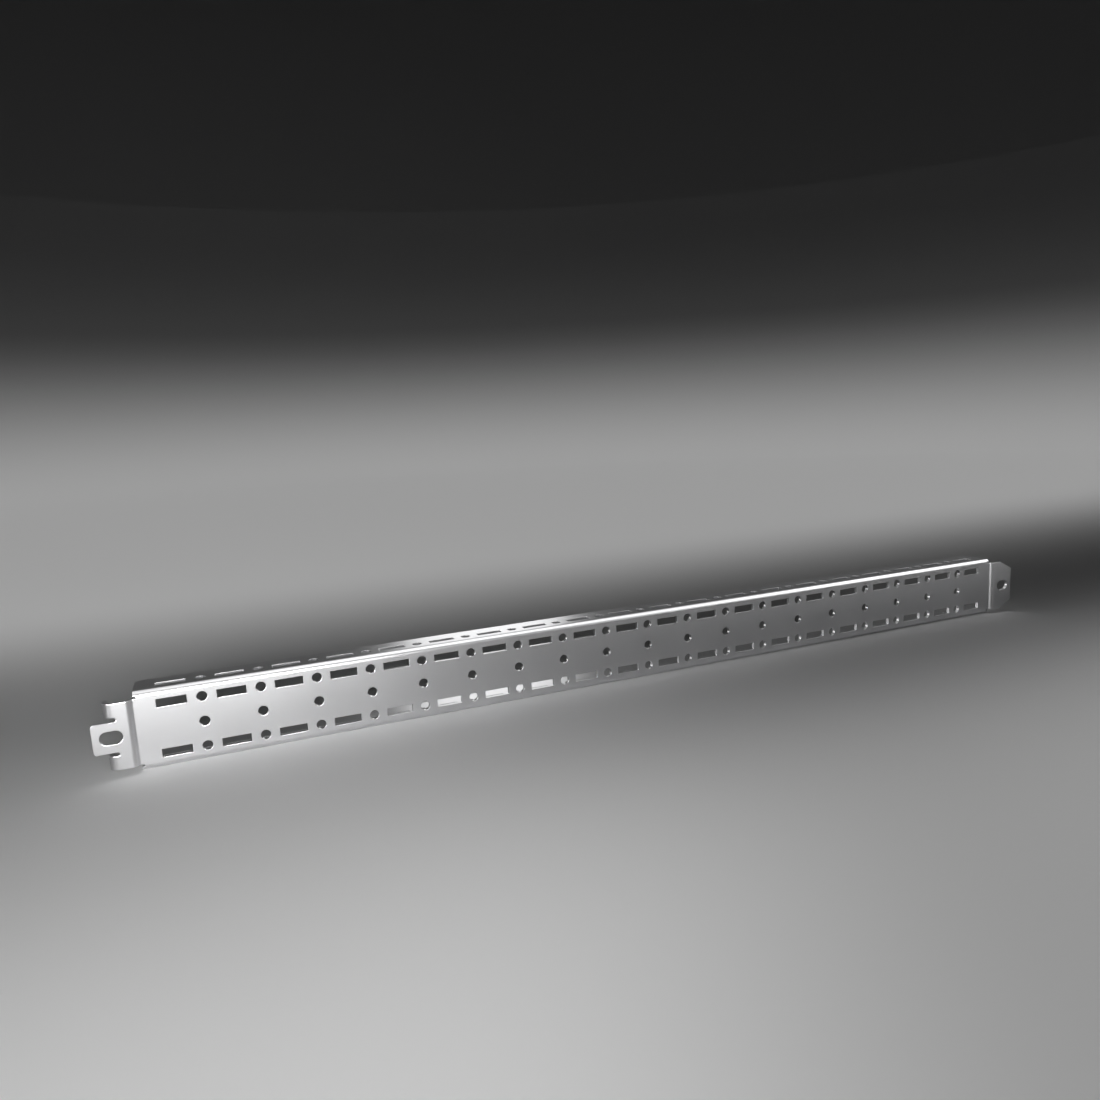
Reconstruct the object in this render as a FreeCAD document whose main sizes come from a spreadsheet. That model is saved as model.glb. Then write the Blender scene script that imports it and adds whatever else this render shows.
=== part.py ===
import FreeCAD, Part
import math
import os
import Sketcher

# Punched mounting rail, folded from one steel sheet: a channel with its open side to the back, a
# hook tab on the left end and a screw tab on the right end. Millimetres.
# Body frame: X along the rail from its middle, Y backwards from the web's front face, Z up from mid height.

NODE = "mounting_rail"

DRIVING_SIZES = [
    ("sheet", 2.0, "thickness of the sheet"),
    ("bend_inner", 0.5, "inside radius of the folds"),
    ("web_height", 36.0, "outside height of the channel"),
    ("channel_depth", 18.0, "outside depth of the channel, web and flange"),
    ("pitch", 25.0, "slot to slot along the rail"),
    ("slot_count", 20, "slots in one row"),
    ("end_margin", 15.0, "last slot centre to the end of the channel"),
    ("row_spacing", 23.0, "upper row to lower row on the web"),
    ("flange_row", 8.0, "row on each flange, back from the front face"),
    ("slot_length", 12.5, "punched slot, along the rail"),
    ("slot_width", 3.75, "punched slot, across the rail"),
    ("hole_diameter", 4.5, "round hole between two slots"),
    ("joggle_run", 3.25, "length of the step from the web to a tab"),
    ("joggle_step", 2.0, "how far a tab stands in front of the web"),
    ("tab_reach", 17.5, "end of the channel to the end of a tab"),
    ("fixing_setback", 10.0, "end of the channel to the centre of a fixing slot"),
    ("fixing_length", 9.25, "fixing slot, along the rail"),
    ("fixing_width", 6.0, "fixing slot, across the rail"),
    ("hook_tab_height", 30.0, "height of the hook tab"),
    ("ear_reach", 12.25, "end of the channel to the outside of a hook"),
    ("hook_inner", 2.0, "inside radius of a hook"),
    ("hook_depth", 7.0, "front of the tab to the tip of a hook"),
    ("tongue_height", 13.75, "height of the tongue between the hooks"),
    ("tongue_corner", 1.5, "corner radius of the tongue"),
    ("notch_width", 1.65, "gap between the tongue and a hook"),
    ("notch_setback", 7.425, "end of the channel to the round end of a notch"),
    ("screw_tab_height", 31.0, "height of the screw tab"),
    ("corner_run", 9.5, "cut corner of the screw tab, along the rail"),
    ("corner_drop", 5.0, "cut corner of the screw tab, across the rail"),
    ("relief_width", 1.0, "bend relief beside a tab, across the rail"),
    ("relief_depth", 1.2, "bend relief beside a tab, along the rail"),
    ("cutter_margin", 5.0, "how far a cutting outline runs past the sheet"),
]


class Dim:
    """A length: its formula in the names of the driving sizes, and its value."""

    def __init__(self, text, value):
        self.text = text
        self.value = value

    @staticmethod
    def of(item):
        return item if isinstance(item, Dim) else Dim(repr(float(item)), float(item))

    def __add__(self, other):
        other = Dim.of(other)
        return Dim(f"({self.text} + {other.text})", self.value + other.value)

    def __sub__(self, other):
        other = Dim.of(other)
        return Dim(f"({self.text} - {other.text})", self.value - other.value)

    def __mul__(self, other):
        other = Dim.of(other)
        return Dim(f"({self.text} * {other.text})", self.value * other.value)

    def __truediv__(self, other):
        other = Dim.of(other)
        return Dim(f"({self.text} / {other.text})", self.value / other.value)

    def __neg__(self):
        return self * -1

    __radd__ = __add__
    __rmul__ = __mul__


doc = FreeCAD.newDocument("rail")
sheet_cells = doc.addObject("Spreadsheet::Sheet", "sizes")
for row, (alias, number, note) in enumerate(DRIVING_SIZES, start=1):
    sheet_cells.set(f"A{row}", note)
    sheet_cells.set(f"B{row}", str(number))
    sheet_cells.setAlias(f"B{row}", alias)
doc.recompute()

size = {
    alias: Dim(f"sizes.{alias}", float(sheet_cells.get(alias)))
    for alias, number, note in DRIVING_SIZES
}

# Lengths that follow from the driving sizes
bend_outer = size["bend_inner"] + size["sheet"]
hook_outer = size["hook_inner"] + size["sheet"]
web_length = (size["slot_count"] - 1) * size["pitch"] + 2 * size["end_margin"]
half_length = web_length / 2
half_height = size["web_height"] / 2
half_row = size["row_spacing"] / 2
tab_front = -size["joggle_step"]
tab_back = tab_front + size["sheet"]
fold_start = size["ear_reach"] - hook_outer

body = doc.addObject("PartDesign::Body", NODE)
body.Label = NODE
body.setExpression("Placement.Base.y", ((size["joggle_step"] - size["channel_depth"]) / 2).text)
body.setExpression("Placement.Base.z", half_height.text)


def origin_feature(role):
    return next(feature for feature in body.Origin.OriginFeatures if feature.Role == role)


def sketch_on(role, name):
    sketch = body.newObject("Sketcher::SketchObject", name)
    sketch.AttachmentSupport = (origin_feature(role), [""])
    sketch.MapMode = "FlatFace"
    return sketch


def bind(sketch, kind, where, dim):
    # One size of an outline, which follows the driving sizes
    number = sketch.addConstraint(Sketcher.Constraint(kind, *where, dim.value))
    sketch.renameConstraint(number, f"size{number}")
    sketch.setExpression(f"Constraints.size{number}", dim.text)


def vector(point):
    return FreeCAD.Vector(point[0].value, point[1].value, 0)


def edge_geometry(start, end, centre):
    # A straight edge, or an arc of a quarter turn or less about its centre; says which end comes first
    if centre is None:
        return Part.LineSegment(vector(start), vector(end)), True
    middle = vector(centre)
    spokes = [vector(point) - middle for point in (start, end)]
    angles = [math.atan2(spoke.y, spoke.x) for spoke in spokes]
    circle = Part.Circle(middle, FreeCAD.Vector(0, 0, 1), spokes[0].Length)
    forwards = (angles[1] - angles[0]) % (2 * math.pi) < math.pi
    first, last = angles if forwards else angles[::-1]
    return Part.ArcOfCircle(circle, first, last), forwards


def trace(sketch, outline):
    # A closed outline of corners (across, up); a corner with (centre, radius) starts an arc to the next one
    ends = []
    for corner, following in zip(outline, outline[1:] + outline[:1]):
        centre, radius = corner[2] if len(corner) > 2 else (None, None)
        geometry, forwards = edge_geometry(corner, following, centre)
        index = sketch.addGeometry(geometry)
        ends.append((index, 1, 2) if forwards else (index, 2, 1))
        start = ends[-1][:2]
        bind(sketch, "DistanceX", (-1, 1, *start), corner[0])
        bind(sketch, "DistanceY", (-1, 1, *start), corner[1])
        if radius is not None:
            bind(sketch, "Radius", (index,), radius)
    for before, after in zip(ends, ends[1:] + ends[:1]):
        sketch.addConstraint(Sketcher.Constraint("Coincident", before[0], before[2], after[0], after[1]))


def box(sketch, low_x, low_y, high_x, high_y):
    trace(sketch, [(low_x, low_y), (high_x, low_y), (high_x, high_y), (low_x, high_y)])


def round_hole(sketch, across, up, diameter):
    circle = Part.Circle(vector((across, up)), FreeCAD.Vector(0, 0, 1), diameter.value / 2)
    index = sketch.addGeometry(circle)
    bind(sketch, "DistanceX", (-1, 1, index, 3), across)
    bind(sketch, "DistanceY", (-1, 1, index, 3), up)
    bind(sketch, "Diameter", (index,), diameter)


def oblong(sketch, across, up, length, width):
    # Round-ended slot along the rail, each end two quarter turns
    radius = width / 2
    straight = length / 2 - radius
    right, left = (across + straight, up), (across - straight, up)
    trace(sketch, [
        (left[0], up - radius), (right[0], up - radius, (right, radius)),
        (right[0] + radius, up, (right, radius)), (right[0], up + radius),
        (left[0], up + radius, (left, radius)), (left[0] - radius, up, (left, radius)),
    ])


def pad(sketch, name, length):
    feature = body.newObject("PartDesign::Pad", name)
    feature.Profile = sketch
    feature.SideType = "Symmetric"
    feature.setExpression("Length", length.text)
    doc.recompute()
    return feature


def pocket(sketch, name):
    feature = body.newObject("PartDesign::Pocket", name)
    feature.Profile = sketch
    feature.Type = "ThroughAll"
    feature.SideType = "Symmetric"
    doc.recompute()
    return feature


def repeat(feature, name, count):
    # Copies of a cut along the rail at the pitch
    pattern = body.newObject("PartDesign::LinearPattern", name)
    pattern.Originals = [feature]
    pattern.Direction = (origin_feature("X_Axis"), [""])
    pattern.Mode = "Spacing"
    pattern.setExpression("Offset", size["pitch"].text)
    pattern.setExpression("Occurrences", count.text)
    body.Tip = pattern
    doc.recompute()
    return pattern


def fold_channel():
    # The section: the web in front, a flange above and below, each fold a quarter turn
    sketch = sketch_on("YZ_Plane", "channel_section")
    inner, outer, wall, back = size["bend_inner"], bend_outer, size["sheet"], size["channel_depth"]
    front = 0 * wall
    top, bottom = half_height, -half_height
    upper, lower = (outer, top - outer), (outer, bottom + outer)
    trace(sketch, [
        (back, bottom), (back, bottom + wall),
        (outer, bottom + wall, (lower, inner)), (wall, bottom + outer),
        (wall, top - outer, (upper, inner)), (outer, top - wall),
        (back, top - wall), (back, top),
        (outer, top, (upper, outer)), (front, top - outer),
        (front, bottom + outer, (lower, outer)), (outer, bottom),
    ])
    pad(sketch, "channel", web_length)


def tab_plan(sketch, side, reach, hooked):
    # Seen from above: the step forward from the web in two equal arcs, the flat, and a hook folded back
    run, step, wall = size["joggle_run"], size["joggle_step"], size["sheet"]
    middle_radius = (run * run + step * step) / (4 * step)
    tight, wide = middle_radius - wall / 2, middle_radius + wall / 2
    rise = 2 * middle_radius - step

    def at(out, depth):
        return side * (half_length + out), depth

    near = at(0 * run, wall / 2 - middle_radius)
    far = at(run, wall / 2 - middle_radius + rise)

    def between(radius):
        share = radius / (2 * middle_radius)
        return at(run * share, wall / 2 - middle_radius + rise * share)

    stepped_front = [
        (*at(0 * run, 0 * wall), (near, tight)), (*between(tight), (far, wide)), at(run, tab_front),
    ]
    stepped_back = [
        (*at(run, tab_back), (far, tight)), (*between(wide), (near, wide)), at(0 * run, wall),
    ]
    if not hooked:
        end = [at(reach, tab_front), at(reach, tab_back)]
    else:
        start, inner, tip = reach - hook_outer, size["hook_inner"], tab_front + size["hook_depth"]
        fold = at(start, tab_front + hook_outer)
        end = [
            (*at(start, tab_front), (fold, hook_outer)), at(reach, tab_front + hook_outer),
            at(reach, tip), at(reach - wall, tip),
            (*at(reach - wall, tab_front + hook_outer), (fold, inner)), at(start, tab_back),
        ]
    trace(sketch, stepped_front + end + stepped_back)


def add_hook_tab():
    # Two hooks with a longer flat tongue between them, parted by notches
    sketch = sketch_on("XY_Plane", "hook_tab_plan")
    tab_plan(sketch, -1, size["ear_reach"], True)
    pad(sketch, "hook_tab", size["hook_tab_height"])

    half_tongue = size["tongue_height"] / 2
    notch_outer = half_tongue + size["notch_width"]
    past_tab = -(half_length + size["tab_reach"] + size["cutter_margin"])
    root = -(half_length + fold_start)
    sketch = sketch_on("XZ_Plane", "tongue_clearing_outline")
    box(sketch, past_tab, -notch_outer, root, notch_outer)
    pocket(sketch, "tongue_clearing")

    radius = size["tongue_corner"]
    tip = -(half_length + size["tab_reach"])
    seat = -(half_length + size["notch_setback"])
    upper, lower = (tip + radius, half_tongue - radius), (tip + radius, radius - half_tongue)
    sketch = sketch_on("XZ_Plane", "tongue_outline")
    sketch.setExpression("AttachmentOffset.Base.z", (-(tab_front + tab_back) / 2).text)
    trace(sketch, [
        (seat, -half_tongue), (seat, half_tongue),
        (tip + radius, half_tongue, (upper, radius)), (tip, half_tongue - radius),
        (tip, radius - half_tongue, (lower, radius)), (tip + radius, -half_tongue),
    ])
    pad(sketch, "tongue", size["sheet"])

    length = size["tab_reach"] + size["cutter_margin"] - size["notch_setback"]
    middle = -(half_length + size["notch_setback"] + length / 2)
    sketch = sketch_on("XZ_Plane", "notch_outline")
    for sign in (-1, 1):
        oblong(sketch, middle, sign * (half_tongue + size["notch_width"] / 2), length, size["notch_width"])
    pocket(sketch, "notches")


def add_screw_tab():
    sketch = sketch_on("XY_Plane", "screw_tab_plan")
    tab_plan(sketch, 1, size["tab_reach"], False)
    pad(sketch, "screw_tab", size["screw_tab_height"])

    # The cut corners, each a triangle carried past the edge
    tip = half_length + size["tab_reach"]
    edge = size["screw_tab_height"] / 2
    slope = size["corner_drop"] / size["corner_run"]
    margin = size["cutter_margin"]
    sketch = sketch_on("XZ_Plane", "corner_outline")
    for sign in (-1, 1):
        trace(sketch, [
            (tip - size["corner_run"] - margin, sign * (edge + margin * slope)),
            (tip + margin, sign * (edge + margin * slope)),
            (tip + margin, sign * (edge - size["corner_drop"] - margin * slope)),
        ])
    pocket(sketch, "cut_corners")


def cut_reliefs():
    # A small square notch in the web's end beside each tab edge, so that the folds don't tear
    sketch = sketch_on("XZ_Plane", "relief_outline")
    for side, height in ((-1, size["hook_tab_height"]), (1, size["screw_tab_height"])):
        for sign in (-1, 1):
            inside = side * (half_length - size["relief_depth"])
            outside = side * (half_length + size["joggle_run"])
            edge = sign * height / 2
            box(sketch, inside, edge, outside, edge + sign * size["relief_width"])
    pocket(sketch, "bend_reliefs")


def punch_fixing_slots():
    sketch = sketch_on("XZ_Plane", "fixing_outline")
    for side in (-1, 1):
        centre = side * (half_length + size["fixing_setback"])
        oblong(sketch, centre, 0 * half_height, size["fixing_length"], size["fixing_width"])
    pocket(sketch, "fixing_slots")


def punch_rows():
    # Slots and round holes alternate at half the pitch; the web's middle row has only the round holes
    first_slot = size["end_margin"] - half_length
    first_hole = first_slot + size["pitch"] / 2
    hole_count = size["slot_count"] - 1
    half_slot = size["slot_length"] / 2
    half_width = size["slot_width"] / 2
    for plane, name, slot_rows, hole_rows in (
        ("XZ_Plane", "web", (-half_row, half_row), (-half_row, 0 * half_row, half_row)),
        ("XY_Plane", "flange", (size["flange_row"],), (size["flange_row"],)),
    ):
        sketch = sketch_on(plane, f"{name}_slot_outline")
        for up in slot_rows:
            box(sketch, first_slot - half_slot, up - half_width, first_slot + half_slot, up + half_width)
        repeat(pocket(sketch, f"{name}_slot"), f"{name}_slots", size["slot_count"])
        sketch = sketch_on(plane, f"{name}_hole_outline")
        for up in hole_rows:
            round_hole(sketch, first_hole, up, size["hole_diameter"])
        repeat(pocket(sketch, f"{name}_hole"), f"{name}_holes", hole_count)


def check_document():
    # Every feature is sound, a pad adds volume and a cut or its copies take volume away
    for item in doc.Objects:
        if {"Invalid", "Error"} & set(item.State):
            raise RuntimeError(f"{item.Label} failed: {item.State}")
    volume = 0.0
    for feature in body.Group:
        if not feature.isDerivedFrom("PartDesign::Feature"):
            continue
        grows = feature.TypeId == "PartDesign::Pad"
        if (feature.Shape.Volume > volume) != grows:
            raise RuntimeError(f"{feature.Label} changed the volume the wrong way")
        volume = feature.Shape.Volume
    shape = body.Shape
    if shape.isNull() or not shape.isValid() or len(shape.Solids) != 1:
        raise RuntimeError("the rail isn't one sound solid")


fold_channel()
add_hook_tab()
add_screw_tab()
cut_reliefs()
punch_fixing_slots()
punch_rows()
doc.recompute()
check_document()

os.makedirs("parts", exist_ok=True)
body.Shape.exportStep(f"parts/{NODE}.step")
bounds = body.Shape.BoundBox
print(f"{NODE}: {bounds.XLength:.2f} x {bounds.YLength:.2f} x {bounds.ZLength:.2f} mm, "
      f"volume {body.Shape.Volume:.1f} mm3")
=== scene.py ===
import math

import bpy
import numpy as np
from mathutils import Matrix, Vector


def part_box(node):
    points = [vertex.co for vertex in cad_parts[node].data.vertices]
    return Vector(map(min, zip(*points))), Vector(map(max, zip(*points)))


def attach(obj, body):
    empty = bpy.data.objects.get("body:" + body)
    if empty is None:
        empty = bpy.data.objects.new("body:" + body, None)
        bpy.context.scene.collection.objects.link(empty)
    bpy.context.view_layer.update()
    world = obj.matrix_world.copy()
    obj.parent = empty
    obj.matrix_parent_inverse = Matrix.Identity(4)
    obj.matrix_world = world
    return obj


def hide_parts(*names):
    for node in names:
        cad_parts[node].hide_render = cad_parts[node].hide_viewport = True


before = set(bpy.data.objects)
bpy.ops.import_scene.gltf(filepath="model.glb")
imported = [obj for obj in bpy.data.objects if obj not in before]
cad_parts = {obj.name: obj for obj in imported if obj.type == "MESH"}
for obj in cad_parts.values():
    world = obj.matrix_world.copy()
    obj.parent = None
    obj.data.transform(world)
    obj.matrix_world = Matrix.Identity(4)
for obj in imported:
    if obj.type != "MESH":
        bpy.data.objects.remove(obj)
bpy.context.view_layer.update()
scene = bpy.context.scene
scene.view_settings.view_transform = "Standard"
mm = 0.001
quarterTurn = math.pi / 2
print("stage: frame loaded")


class Wire:  # one node socket, so that sums in a material read as sums

    def __init__(self, tree, socket):
        self.tree, self.socket = tree, socket

    def sum(self, operation, *values):
        return self.tree.node("ShaderNodeMath", {"operation": operation}, dict(enumerate(values)))

    def __add__(self, other):
        return self.sum("ADD", self, other)

    def __radd__(self, other):
        return self.sum("ADD", other, self)

    def __sub__(self, other):
        return self.sum("SUBTRACT", self, other)

    def __rsub__(self, other):
        return self.sum("SUBTRACT", other, self)

    def __mul__(self, other):
        return self.sum("MULTIPLY", self, other)

    def __rmul__(self, other):
        return self.sum("MULTIPLY", other, self)


colorMix = {"share": 0, "start": 6, "end": 7, "result": 2}  # a Mix node's sockets when it mixes colours


class Tree:  # a material's or the world's nodes

    def __init__(self, owner):
        owner.use_nodes = True
        self.nodes, self.links = owner.node_tree.nodes, owner.node_tree.links

    def node(self, kind, settings, inputs, output=0):
        made = self.nodes.new(kind)
        for name, value in settings.items():
            setattr(made, name, value)
        for name, value in inputs.items():
            self.fill(made.inputs[name], value)
        return Wire(self, made.outputs[output])

    def fill(self, socket, value):
        if isinstance(value, Wire):
            self.links.new(value.socket, socket)
        else:
            socket.default_value = value

    def mixColor(self, share, start, end):  # from one colour to another by a share
        inputs = {colorMix["share"]: share, colorMix["start"]: (*start, 1), colorMix["end"]: (*end, 1)}
        return self.node("ShaderNodeMix", {"data_type": "RGBA"}, inputs, colorMix["result"])


def newMaterial(name):
    material = bpy.data.materials.new(name)
    tree = Tree(material)
    return material, tree, tree.nodes["Principled BSDF"]


def runs(marks, counts):  # equal steps from each mark to the next, as many as its count
    parts = [np.linspace(a, b, n + 1)[:-1] for a, b, n in zip(marks, marks[1:], counts)]
    return np.concatenate(parts + [marks[-1:]])


def grid(us, vs):  # every crossing of the lines u along the rail and v across it
    return np.stack(np.meshgrid(us, vs, indexing="ij"), -1)[None]


def perimeter(us, vs):  # once round the rectangle that the lines bound, anticlockwise from its low corner
    flat, edge = np.ones_like(us), np.ones_like(vs)
    sides = [(us, flat * vs[0]), (edge * us[-1], vs), (us[::-1], flat * vs[-1]), (edge * us[0], vs[::-1])]
    points = np.concatenate([np.stack(side, -1)[:-1] for side in sides])
    return np.concatenate([points, points[:1]])


def roundHole(straight, radius, nu, nv, level=0):
    # an angle turned once round, and a shift along u that carries the straight sides over their share, level
    t = np.linspace(-1, 1, nu + 1)[:-1]
    lean = np.sign(t) * np.maximum(0, np.abs(t) - level) / (1 - level) * quarterTurn / 2
    shift = straight * np.clip(t / level, -1, 1) if level else 0 * t
    side = np.linspace(-1, 1, nv + 1)[:-1] * quarterTurn / 2
    angle = np.concatenate([lean - quarterTurn, side, lean + quarterTurn, side + 2 * quarterTurn])
    slide = np.concatenate([shift, np.full(nv, straight), -shift, np.full(nv, -straight)])
    points = np.stack([slide + radius * np.cos(angle), radius * np.sin(angle)], -1)
    return np.concatenate([points, points[:1]])


def ring(outer, inner, shares):  # straight lines from an outer outline in to a hole's own outline
    share = np.asarray(shares)[None, :, None]
    return (outer[:, None] * (1 - share) + inner[:, None] * share)[None]


def along(block, places):  # one block repeated along u
    return block + np.stack([places, 0 * places], -1)[:, None, None, :]


def mirrored(block):  # the same block on the other side of the middle line, still facing outward
    return (block * [1, -1])[:, ::-1]


weldGrid = {"perMillimetre": 1000, "shift": 0.137}  # the shift keeps round sizes off the rounding's borders


def weld(blocks):  # every block's quads as corner numbers, points at one place counted once
    points = np.concatenate([b.reshape(-1, 3) for b in blocks])
    quads, start = [], 0
    for b in blocks:
        g = start + np.arange(b[..., 0].size).reshape(b.shape[:3])
        corners = [g[:, :-1, :-1], g[:, 1:, :-1], g[:, 1:, 1:], g[:, :-1, 1:]]
        quads.append(np.stack(corners, -1).reshape(-1, len(corners)))
        start += g.size
    places = np.round(points * weldGrid["perMillimetre"] + weldGrid["shift"])
    _, first, number = np.unique(places, axis=0, return_index=True, return_inverse=True)
    return points[first], number.reshape(-1)[np.concatenate(quads)]


def meshPiece(name, points, quads, material):
    mesh = bpy.data.meshes.new(name)
    mesh.vertices.add(len(points))
    mesh.vertices.foreach_set("co", points.astype(np.float32).ravel())
    mesh.loops.add(quads.size)
    mesh.loops.foreach_set("vertex_index", quads.astype(np.int32).ravel())
    mesh.polygons.add(len(quads))
    mesh.polygons.foreach_set("loop_start", np.arange(0, quads.size, quads.shape[1], dtype=np.int32))
    mesh.update(calc_edges=True)
    mesh.shade_smooth()
    mesh.materials.append(material)
    piece = bpy.data.objects.new(name, mesh)
    scene.collection.objects.link(piece)
    return piece


zinc = {
    "color": (0.715, 0.715, 0.725), "shade": (0.685, 0.685, 0.695),
    "roughness": 0.3, "roughnessSpread": 0.05,
    "cloudScale": 38.0, "cloudDetail": 4.0, "cloudShare": 0.6,
    "grainScale": 2600.0, "grainDetail": 3.0, "grainStretch": 0.03, "grainShare": 0.4,
    "noiseMiddle": 0.5, "bump": 0.02, "bumpDistance": 0.00005,
}


def zincMaterial():
    # clouded plating over the faint lengthwise grain of rolled sheet
    z = zinc
    material, tree, shader = newMaterial("zincPlatedSteel")
    place = tree.node("ShaderNodeTexCoord", {}, {}, "Object")
    cloudInputs = {"Vector": place, "Scale": z["cloudScale"], "Detail": z["cloudDetail"]}
    cloud = tree.node("ShaderNodeTexNoise", {}, cloudInputs)
    stretch = (z["grainStretch"], 1, 1)
    drawn = tree.node("ShaderNodeVectorMath", {"operation": "MULTIPLY"}, {0: place, 1: stretch})
    grainInputs = {"Vector": drawn, "Scale": z["grainScale"], "Detail": z["grainDetail"]}
    grain = tree.node("ShaderNodeTexNoise", {}, grainInputs)
    blend = cloud * z["cloudShare"] + grain * z["grainShare"]
    tree.fill(shader.inputs["Base Color"], tree.mixColor(blend, z["shade"], z["color"]))
    tree.fill(shader.inputs["Roughness"], z["roughness"] + (blend - z["noiseMiddle"]) * z["roughnessSpread"])
    bumpInputs = {"Strength": z["bump"], "Distance": z["bumpDistance"], "Height": grain}
    tree.fill(shader.inputs["Normal"], tree.node("ShaderNodeBump", {}, bumpInputs))
    shader.inputs["Metallic"].default_value = 1.0
    return material


rail = {  # millimetres
    "sheet": 2.0, "bendInner": 0.5, "pitch": 25.0, "slotCount": 20, "rowSpacing": 23.0, "flangeRow": 8.0,
    "slotLength": 12.5, "slotWidth": 3.75, "holeDiameter": 4.5,
    "joggleRun": 3.25, "joggleStep": 2.0, "tabReach": 17.5,
    "fixingSetback": 10.0, "fixingLength": 9.25, "fixingWidth": 6.0,
    "hookTabHeight": 30.0, "earReach": 12.25, "hookInner": 2.0, "hookDepth": 7.0,
    "tongueHeight": 13.75, "tongueCorner": 1.5, "notchWidth": 1.65,
    "screwTabHeight": 31.0, "cornerRun": 9.5, "cornerDrop": 5.0, "reliefDepth": 1.2,
    "slotCell": 18.0, "middleCell": 9.0, "flangeCell": 6.0, "fixingCell": 11.5,
    "edge": 0.1, "edgeSegments": 2, "edgeAngle": 40.0, "normalWeight": 50,  # the angle in degrees
    # how many strips each stretch of the blank is cut into
    "middleSteps": 10, "tongueSteps": 6, "notchSteps": 8, "rowSteps": 12, "foldSteps": 8, "flangeSteps": 10,
    "slotSteps": 4, "holeSteps": 8, "endSteps": (2, 1), "joggleSteps": (5, 7), "fixingSteps": (4, 8),
    "tipSteps": 3, "earSteps": 8, "hookReliefStrips": 1, "screwReliefStrips": 2,
    "ringShares": (0, 0.85, 1), "fixingLevel": 0.34,  # shares of a ring, and of a fixing slot's straight side
    "lineSlack": 0.001, "lineDecimals": 6,
}


def railSheet():
    r = rail
    low, high = (np.array(corner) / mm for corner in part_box("mounting_rail"))
    webEnd = high[0] - r["tabReach"]
    webFront = low[1] + r["joggleStep"]
    middle = (low[2] + high[2]) / 2
    half = (high[2] - low[2]) / 2
    depth = high[1] - webFront

    # lines across the blank, from the middle outwards; past the fold v counts the outer face's length
    bend = r["bendInner"] + r["sheet"]
    foldLine = half - bend
    foldEnd = foldLine + bend * quarterTurn
    tongue, notch = r["tongueHeight"] / 2, r["notchWidth"] / 2
    rowLow = tongue + 2 * notch
    rowHigh = r["rowSpacing"] - rowLow  # so that the row lies in the middle of its band
    turn = np.linspace(0, quarterTurn, r["tongueSteps"] + 1)
    middleLines = runs([-r["middleCell"] / 2, r["middleCell"] / 2], [r["middleSteps"]])
    tongueLines = np.append(r["middleCell"] / 2, tongue - r["tongueCorner"] * (1 - np.sin(turn)))
    notchLines = tongue + notch * (1 - np.cos(np.linspace(0, 2 * quarterTurn, r["notchSteps"] + 1)))
    rowLines = runs([rowLow, rowHigh], [r["rowSteps"]])
    hookEdge, screwEdge = r["hookTabHeight"] / 2, r["screwTabHeight"] / 2
    foldLines = runs([foldLine, foldEnd], [r["foldSteps"]])
    flangeV = foldEnd + np.array([0, r["flangeRow"] - r["flangeCell"] / 2 - bend,
                                  r["flangeRow"] + r["flangeCell"] / 2 - bend, depth - bend])
    flangeLines = runs(list(flangeV[1:3]), [r["flangeSteps"]])

    # lines along the rail
    slotAt = (np.arange(r["slotCount"]) - (r["slotCount"] - 1) / 2) * r["pitch"]
    holeAt = slotAt[:-1] + r["pitch"] / 2
    slotLines = runs([-r["slotCell"] / 2, r["slotCell"] / 2], [r["slotSteps"]])
    holeHalf = (r["pitch"] - r["slotCell"]) / 2
    holeLines = runs([-holeHalf, holeHalf], [r["holeSteps"]])
    reliefEnd, cellEnd = webEnd - r["reliefDepth"], slotAt[-1] + r["slotCell"] / 2
    endLines = runs([cellEnd, reliefEnd, webEnd], r["endSteps"])
    inside = np.concatenate([(slotAt[:, None] + slotLines).ravel(), (holeAt[:, None] + holeLines).ravel()])
    allLines = np.unique(np.concatenate([-endLines, inside, endLines]).round(r["lineDecimals"]))

    # the channel's blank: plain strips, and bands of cells with a slot or a hole in each
    blank = [grid(-endLines[::-1], middleLines), grid(endLines, middleLines)]
    blank.append(along(grid(slotLines, middleLines), slotAt))
    holeEdge = roundHole(0, r["holeDiameter"] / 2, r["holeSteps"], r["middleSteps"])
    blank.append(along(ring(perimeter(holeLines, middleLines), holeEdge, r["ringShares"]), holeAt))
    upper = [grid(allLines, lines) for lines in (tongueLines, notchLines, flangeV[:2], flangeV[2:])]
    upper.append(grid(allLines, np.array([rowHigh, hookEdge])))
    upper.append(grid(allLines[allLines > -reliefEnd - r["lineSlack"]], np.array([hookEdge, foldLine])))
    # the relief cuts run on into the first strips of the fold
    inner = np.abs(allLines) < reliefEnd + r["lineSlack"]
    hookCut, screwCut = r["hookReliefStrips"], r["screwReliefStrips"]
    upper.append(grid(allLines[inner], foldLines[:hookCut + 1]))
    upper.append(grid(allLines[inner | (allLines < 0)], foldLines[hookCut:screwCut + 1]))
    upper.append(grid(allLines, foldLines[screwCut:]))
    for lines in (rowLines, flangeLines):
        count, centre = len(lines) - 1, (lines[0] + lines[-1]) / 2
        slotU = runs([-r["slotLength"] / 2, r["slotLength"] / 2], [r["slotSteps"]])
        slotV = runs([-r["slotWidth"] / 2, r["slotWidth"] / 2], [count])
        slot = ring(perimeter(slotLines, lines), perimeter(slotU, centre + slotV), r["ringShares"])
        holeEdge = roundHole(0, r["holeDiameter"] / 2, r["holeSteps"], count) + [0, centre]
        hole = ring(perimeter(holeLines, lines), holeEdge, r["ringShares"])
        upper += [along(slot, slotAt), along(hole, holeAt)]
        upper += [grid(-endLines[::-1], lines), grid(endLines, lines)]
    blank += upper + [mirrored(block) for block in upper]

    def fold(block):  # straight up the web, a quarter turn at each long edge, then straight back
        x, v = block[..., 0], block[..., 1]
        around = np.clip((np.abs(v) - foldLine) / bend, 0, quarterTurn)
        back = bend * (1 - np.cos(around)) + np.maximum(np.abs(v) - foldEnd, 0)
        up = np.sign(v) * (np.minimum(np.abs(v), foldLine) + bend * np.sin(around))
        return np.stack([x, webFront + back, middle + up], -1)

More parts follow.
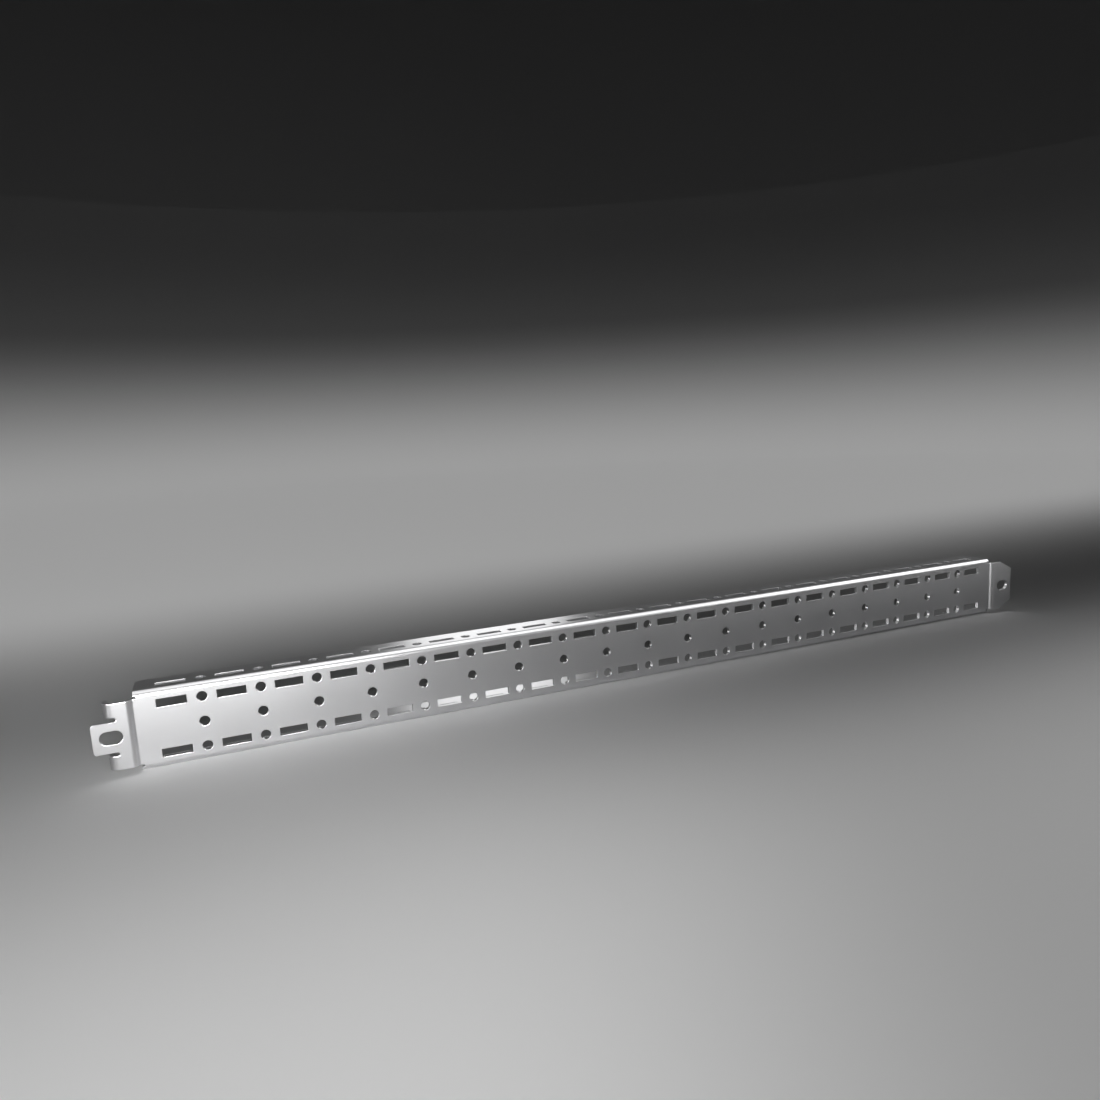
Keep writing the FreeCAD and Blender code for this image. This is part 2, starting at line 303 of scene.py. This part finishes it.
    # the tabs' blanks: w runs outwards from the end of the web
    arc = (r["joggleRun"] ** 2 + r["joggleStep"] ** 2) / (4 * r["joggleStep"])
    tight, wide = arc - r["sheet"] / 2, arc + r["sheet"] / 2
    swing = math.asin(r["joggleRun"] / (2 * arc))
    tightSteps, wideSteps = r["joggleSteps"]
    joggleLines = np.concatenate([tight * np.sin(np.linspace(0, swing, tightSteps + 1))[:-1],
                                  r["joggleRun"] - wide * np.sin(np.linspace(swing, 0, wideSteps + 1))])
    outer = r["hookInner"] + r["sheet"]
    hookStart = r["earReach"] - outer
    cellStart = r["fixingSetback"] - r["fixingCell"] / 2
    cellStop = r["fixingSetback"] + r["fixingCell"] / 2
    fixingLines = runs([cellStart, hookStart, cellStop], r["fixingSteps"])
    earStep = r["fixingSteps"][0]  # the line where the ears begin to turn
    tipLines = runs([cellStop, r["tabReach"]], [r["tipSteps"]])
    hookStraight = hookStart + outer * quarterTurn
    earTurn = runs([hookStart, hookStraight], [r["earSteps"]])
    earLines = np.append(earTurn, hookStraight + r["hookDepth"] - outer)
    radius, straight = r["fixingWidth"] / 2, (r["fixingLength"] - r["fixingWidth"]) / 2
    fixing = roundHole(straight, radius, sum(r["fixingSteps"]), r["middleSteps"], r["fixingLevel"])
    fixingRing = ring(perimeter(fixingLines, middleLines), fixing + [r["fixingSetback"], 0], r["ringShares"])
    neckLines = np.append(joggleLines, cellStart)
    neck = grid(neckLines, middleLines)
    sideV = np.concatenate([tongueLines, notchLines[1:], rowLines[1:]])
    middleBlocks = [neck, fixingRing, grid(tipLines, middleLines)]

    def tab(block, side, hooked=False):
        # a tight and a wide arc set the tab forward; an ear then turns back by a quarter
        w, v = block[..., 0], block[..., 1]
        near = np.sqrt(np.maximum(tight ** 2 - w ** 2, 0)) - tight
        far = wide - r["joggleStep"] - np.sqrt(wide ** 2 - np.clip(r["joggleRun"] - w, 0, None) ** 2)
        y = np.where(w < tight * math.sin(swing), near, far)
        if hooked:
            around = np.clip((w - hookStart) / outer, 0, quarterTurn)
            y = y + outer * (1 - np.cos(around)) + np.maximum(w - hookStraight, 0)
            w = np.minimum(w, hookStart) + outer * np.sin(around)
        placed = np.stack([side * (webEnd + w), webFront + y, middle + v], -1)
        return placed if side > 0 else placed[:, ::-1]

    # hook tab: neck, tongue with a rounded tip, two notches, two ears turned back
    hookV = np.append(sideV, hookEdge)
    rounding = np.maximum(tongueLines - tongue + r["tongueCorner"], 0)
    tip = r["tabReach"] - r["tongueCorner"] + np.sqrt(np.maximum(r["tongueCorner"] ** 2 - rounding ** 2, 0))
    tipShare = (tipLines - cellStop) / (r["tabReach"] - cellStop)
    tipBlock = grid(tipLines, tongueLines)
    tipBlock[0, :, :, 0] = cellStop + tipShare[:, None] * (tip - cellStop)
    slitLines = fixingLines[:earStep + 1]
    notchBlock = grid(slitLines, notchLines)
    notchEnd = hookStart - np.sqrt(np.maximum(notch ** 2 - (notchLines - tongue - notch) ** 2, 0))
    notchShare = (slitLines - cellStart) / (hookStart - cellStart)
    notchBlock[0, :, :, 0] = cellStart + notchShare[:, None] * (notchEnd - cellStart)
    flat = [grid(neckLines, hookV), grid(fixingLines, tongueLines), tipBlock, notchBlock]
    ear = grid(np.concatenate([fixingLines[:earStep], earLines]), np.append(rowLines, hookEdge))
    hookTab = [tab(block, -1) for block in flat + [mirrored(block) for block in flat] + middleBlocks]
    hookTab += [tab(ear, -1, True), tab(mirrored(ear), -1, True)]

    # screw tab: neck, then a plate with two cut corners
    screwV = np.append(hookV, screwEdge)
    cornerLine = screwEdge - r["cornerDrop"]
    reach = r["tabReach"] - np.maximum(screwV - cornerLine, 0) * r["cornerRun"] / r["cornerDrop"]
    plateLines = np.concatenate([fixingLines, tipLines[1:]])
    plateShare = (plateLines - cellStart) / (r["tabReach"] - cellStart)
    plate = grid(plateLines, screwV)
    plate[0, :, :, 0] = cellStart + plateShare[:, None] * (reach - cellStart)
    flat = [grid(neckLines, screwV), plate]
    screwTab = [tab(block, 1) for block in flat + [mirrored(block) for block in flat] + middleBlocks]

    points, quads = weld([fold(block) for block in blank] + hookTab + screwTab)
    piece = meshPiece("punchedRailSheet", points * mm, quads, zincMaterial())
    thick = piece.modifiers.new("sheetThickness", "SOLIDIFY")
    thick.thickness, thick.offset = r["sheet"] * mm, -1
    thick.use_even_offset = thick.use_quality_normals = True
    edge = piece.modifiers.new("punchedEdges", "BEVEL")
    edge.width, edge.segments = r["edge"] * mm, r["edgeSegments"]
    edge.limit_method, edge.angle_limit = "ANGLE", math.radians(r["edgeAngle"])
    edge.use_clamp_overlap = False
    piece.modifiers.new("flatFaces", "WEIGHTED_NORMAL").weight = r["normalWeight"]
    return piece


railPiece = railSheet()
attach(railPiece, "root")
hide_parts("mounting_rail")
print("stage: rail", len(railPiece.data.polygons), "quads before its thickness")

studio = {  # metres
    # painted shade: the wall's colour is painted dark from the floor up to the fade height, standing in for
    # an unlit backdrop
    "floorColor": (0.8, 0.8, 0.8), "paintedShadeColor": (0.15, 0.15, 0.15), "paintedShadeHeight": 0.45,
    "mottle": 0.015, "mottleScale": 2.0,
    "floorCentre": 0.002, "floorRadius": 1.8, "wallRadius": 0.7, "wallHeight": 1.8,
    "floorRings": 20, "wallSteps": 24, "roundSteps": 96,
    "skyColor": (1.0, 1.0, 1.0), "skyLight": 0.02, "skySeen": 1.0,
    "lamps": [  # name, place, aim, size, watts, spread in degrees
        ("leftSoftbox", (-0.29, -0.45, 0.10), (-0.26, 0, 0.02), (0.28, 0.16), 0.44, 70),
        ("frontStrip", (0.45, -1.0, 0.38), (0.15, -0.1, 0), (2.2, 0.1), 1.5, 180),
        ("frontBank", (0.22, -0.27, 0.45), (0.22, -0.269, 0), (0.8, 0.35), 0.28, 35),
        ("rearBank", (0.8, 1.74, 0.8), (0.8, 1.741, 0), (5.0, 3.0), 18.0, 30),
    ],
    "cards": [  # the same for the cards that only the metal mirrors
        ("rearCard", (0.2, 0.94, 0.27), (0, 0, 0.03), (0.27, 0.3), 0.48, 180),
        ("rightCard", (1.0, -0.35, 0.75), (0.2, 0, 0.03), (1.3, 0.8), 6.0, 180),
        ("topCard", (0.15, -0.1, 1.2), (0.05, 0, 0.03), (1.0, 0.8), 2.2, 180),
        ("leftCard", (-0.75, -0.45, 0.1), (0.25, 0, 0.02), (0.3, 0.2), 2.4, 180),
        ("rearLeftCard", (-1.0, 0.85, 0.25), (0.1, 0, 0.02), (0.6, 0.4), 3.0, 180),
    ],
}


def bowlFloor():
    # a pale floor painted darker as it curves up into a wall, painted shade for an unlit backdrop: its
    # profile carried round an upright axis
    s = studio
    turn = np.linspace(0, quarterTurn, s["wallSteps"] + 1)[1:]
    level = np.linspace(s["floorCentre"], s["floorRadius"], s["floorRings"])
    out = np.concatenate([level, s["floorRadius"] + s["wallRadius"] * np.sin(turn)])
    up = np.concatenate([0 * level, s["wallRadius"] * (1 - np.cos(turn))])
    out, up = np.append(out, out[-1]), np.append(up, up[-1] + s["wallHeight"])
    around = np.linspace(0, 4 * quarterTurn, s["roundSteps"] + 1)[:, None]
    block = np.stack([out * np.cos(around), out * np.sin(around), up + 0 * around], -1)[None, ::-1]
    points, quads = weld([block / mm])
    material, tree, shader = newMaterial("paleFloor")
    place = tree.node("ShaderNodeTexCoord", {}, {}, "Object")
    mottle = tree.node("ShaderNodeTexNoise", {}, {"Vector": place, "Scale": s["mottleScale"]})
    height = tree.node("ShaderNodeSeparateXYZ", {}, {"Vector": place}, "Z")
    # painted shade: this share darkens the colour with height, from the pale floor to the dark backdrop
    paintedShadeInputs = {"Value": height, "From Max": s["paintedShadeHeight"]}
    paintedShade = tree.node("ShaderNodeMapRange", {"interpolation_type": "SMOOTHSTEP"}, paintedShadeInputs)
    color = tree.mixColor(paintedShade + mottle * s["mottle"], s["floorColor"], s["paintedShadeColor"])
    tree.fill(shader.inputs["Base Color"], color)
    shader.inputs["Roughness"].default_value = 1.0
    shader.inputs["Specular IOR Level"].default_value = 0.0
    return meshPiece("bowlFloor", points * mm, quads, material)


bowlFloor()
for name, place, aim, size, power, spread in studio["lamps"] + studio["cards"]:
    lamp = bpy.data.lights.new(name, "AREA")
    lamp.shape, lamp.size, lamp.size_y, lamp.energy = "RECTANGLE", size[0], size[1], power
    lamp.spread = math.radians(spread)
    holder = bpy.data.objects.new(name, lamp)
    holder.location = place
    holder.rotation_euler = (Vector(aim) - Vector(place)).to_track_quat("-Z", "Y").to_euler()
    holder.visible_camera = False
    holder.visible_diffuse = not name.endswith("Card")
    scene.collection.objects.link(holder)
scene.world = scene.world or bpy.data.worlds.new("world")
sky = Tree(scene.world)
# the sky is white to the eye and in the metal, and lights the floor only a little
rayKinds = ("Is Camera Ray", "Is Glossy Ray", "Is Transmission Ray")
rays = [sky.node("ShaderNodeLightPath", {}, {}, kind) for kind in rayKinds]
seen = sky.node("ShaderNodeMath", {"operation": "ADD", "use_clamp": True}, {0: rays[0] + rays[1], 1: rays[2]})
sky.nodes["Background"].inputs["Color"].default_value = (*studio["skyColor"], 1)
strength = studio["skyLight"] + seen * (studio["skySeen"] - studio["skyLight"])
sky.fill(sky.nodes["Background"].inputs["Strength"], strength)
print("stage: studio")

shot = {  # place in metres, focus and frame in pixels, sensor in millimetres
    "place": (-0.21395, -0.4043, 0.14745), "forward": (0.36806, 0.91521, -0.16411),
    "right": (0.92323, -0.38067, -0.05231), "focus": 849.6, "frame": 1100.0, "sensor": 36.0,
    "clipStart": 0.01,
}
lens = bpy.data.cameras.new("photoCamera")
lens.sensor_width = shot["sensor"]
lens.lens = shot["sensor"] * shot["focus"] / shot["frame"]
lens.clip_start = shot["clipStart"]
camera = bpy.data.objects.new("photoCamera", lens)
forward, right = Vector(shot["forward"]).normalized(), Vector(shot["right"])
right = (right - forward * right.dot(forward)).normalized()
axes = Matrix((right, right.cross(forward), -forward)).transposed()
camera.matrix_world = Matrix.Translation(shot["place"]) @ axes.to_4x4()
scene.collection.objects.link(camera)
scene.camera = camera
print("stage: camera")
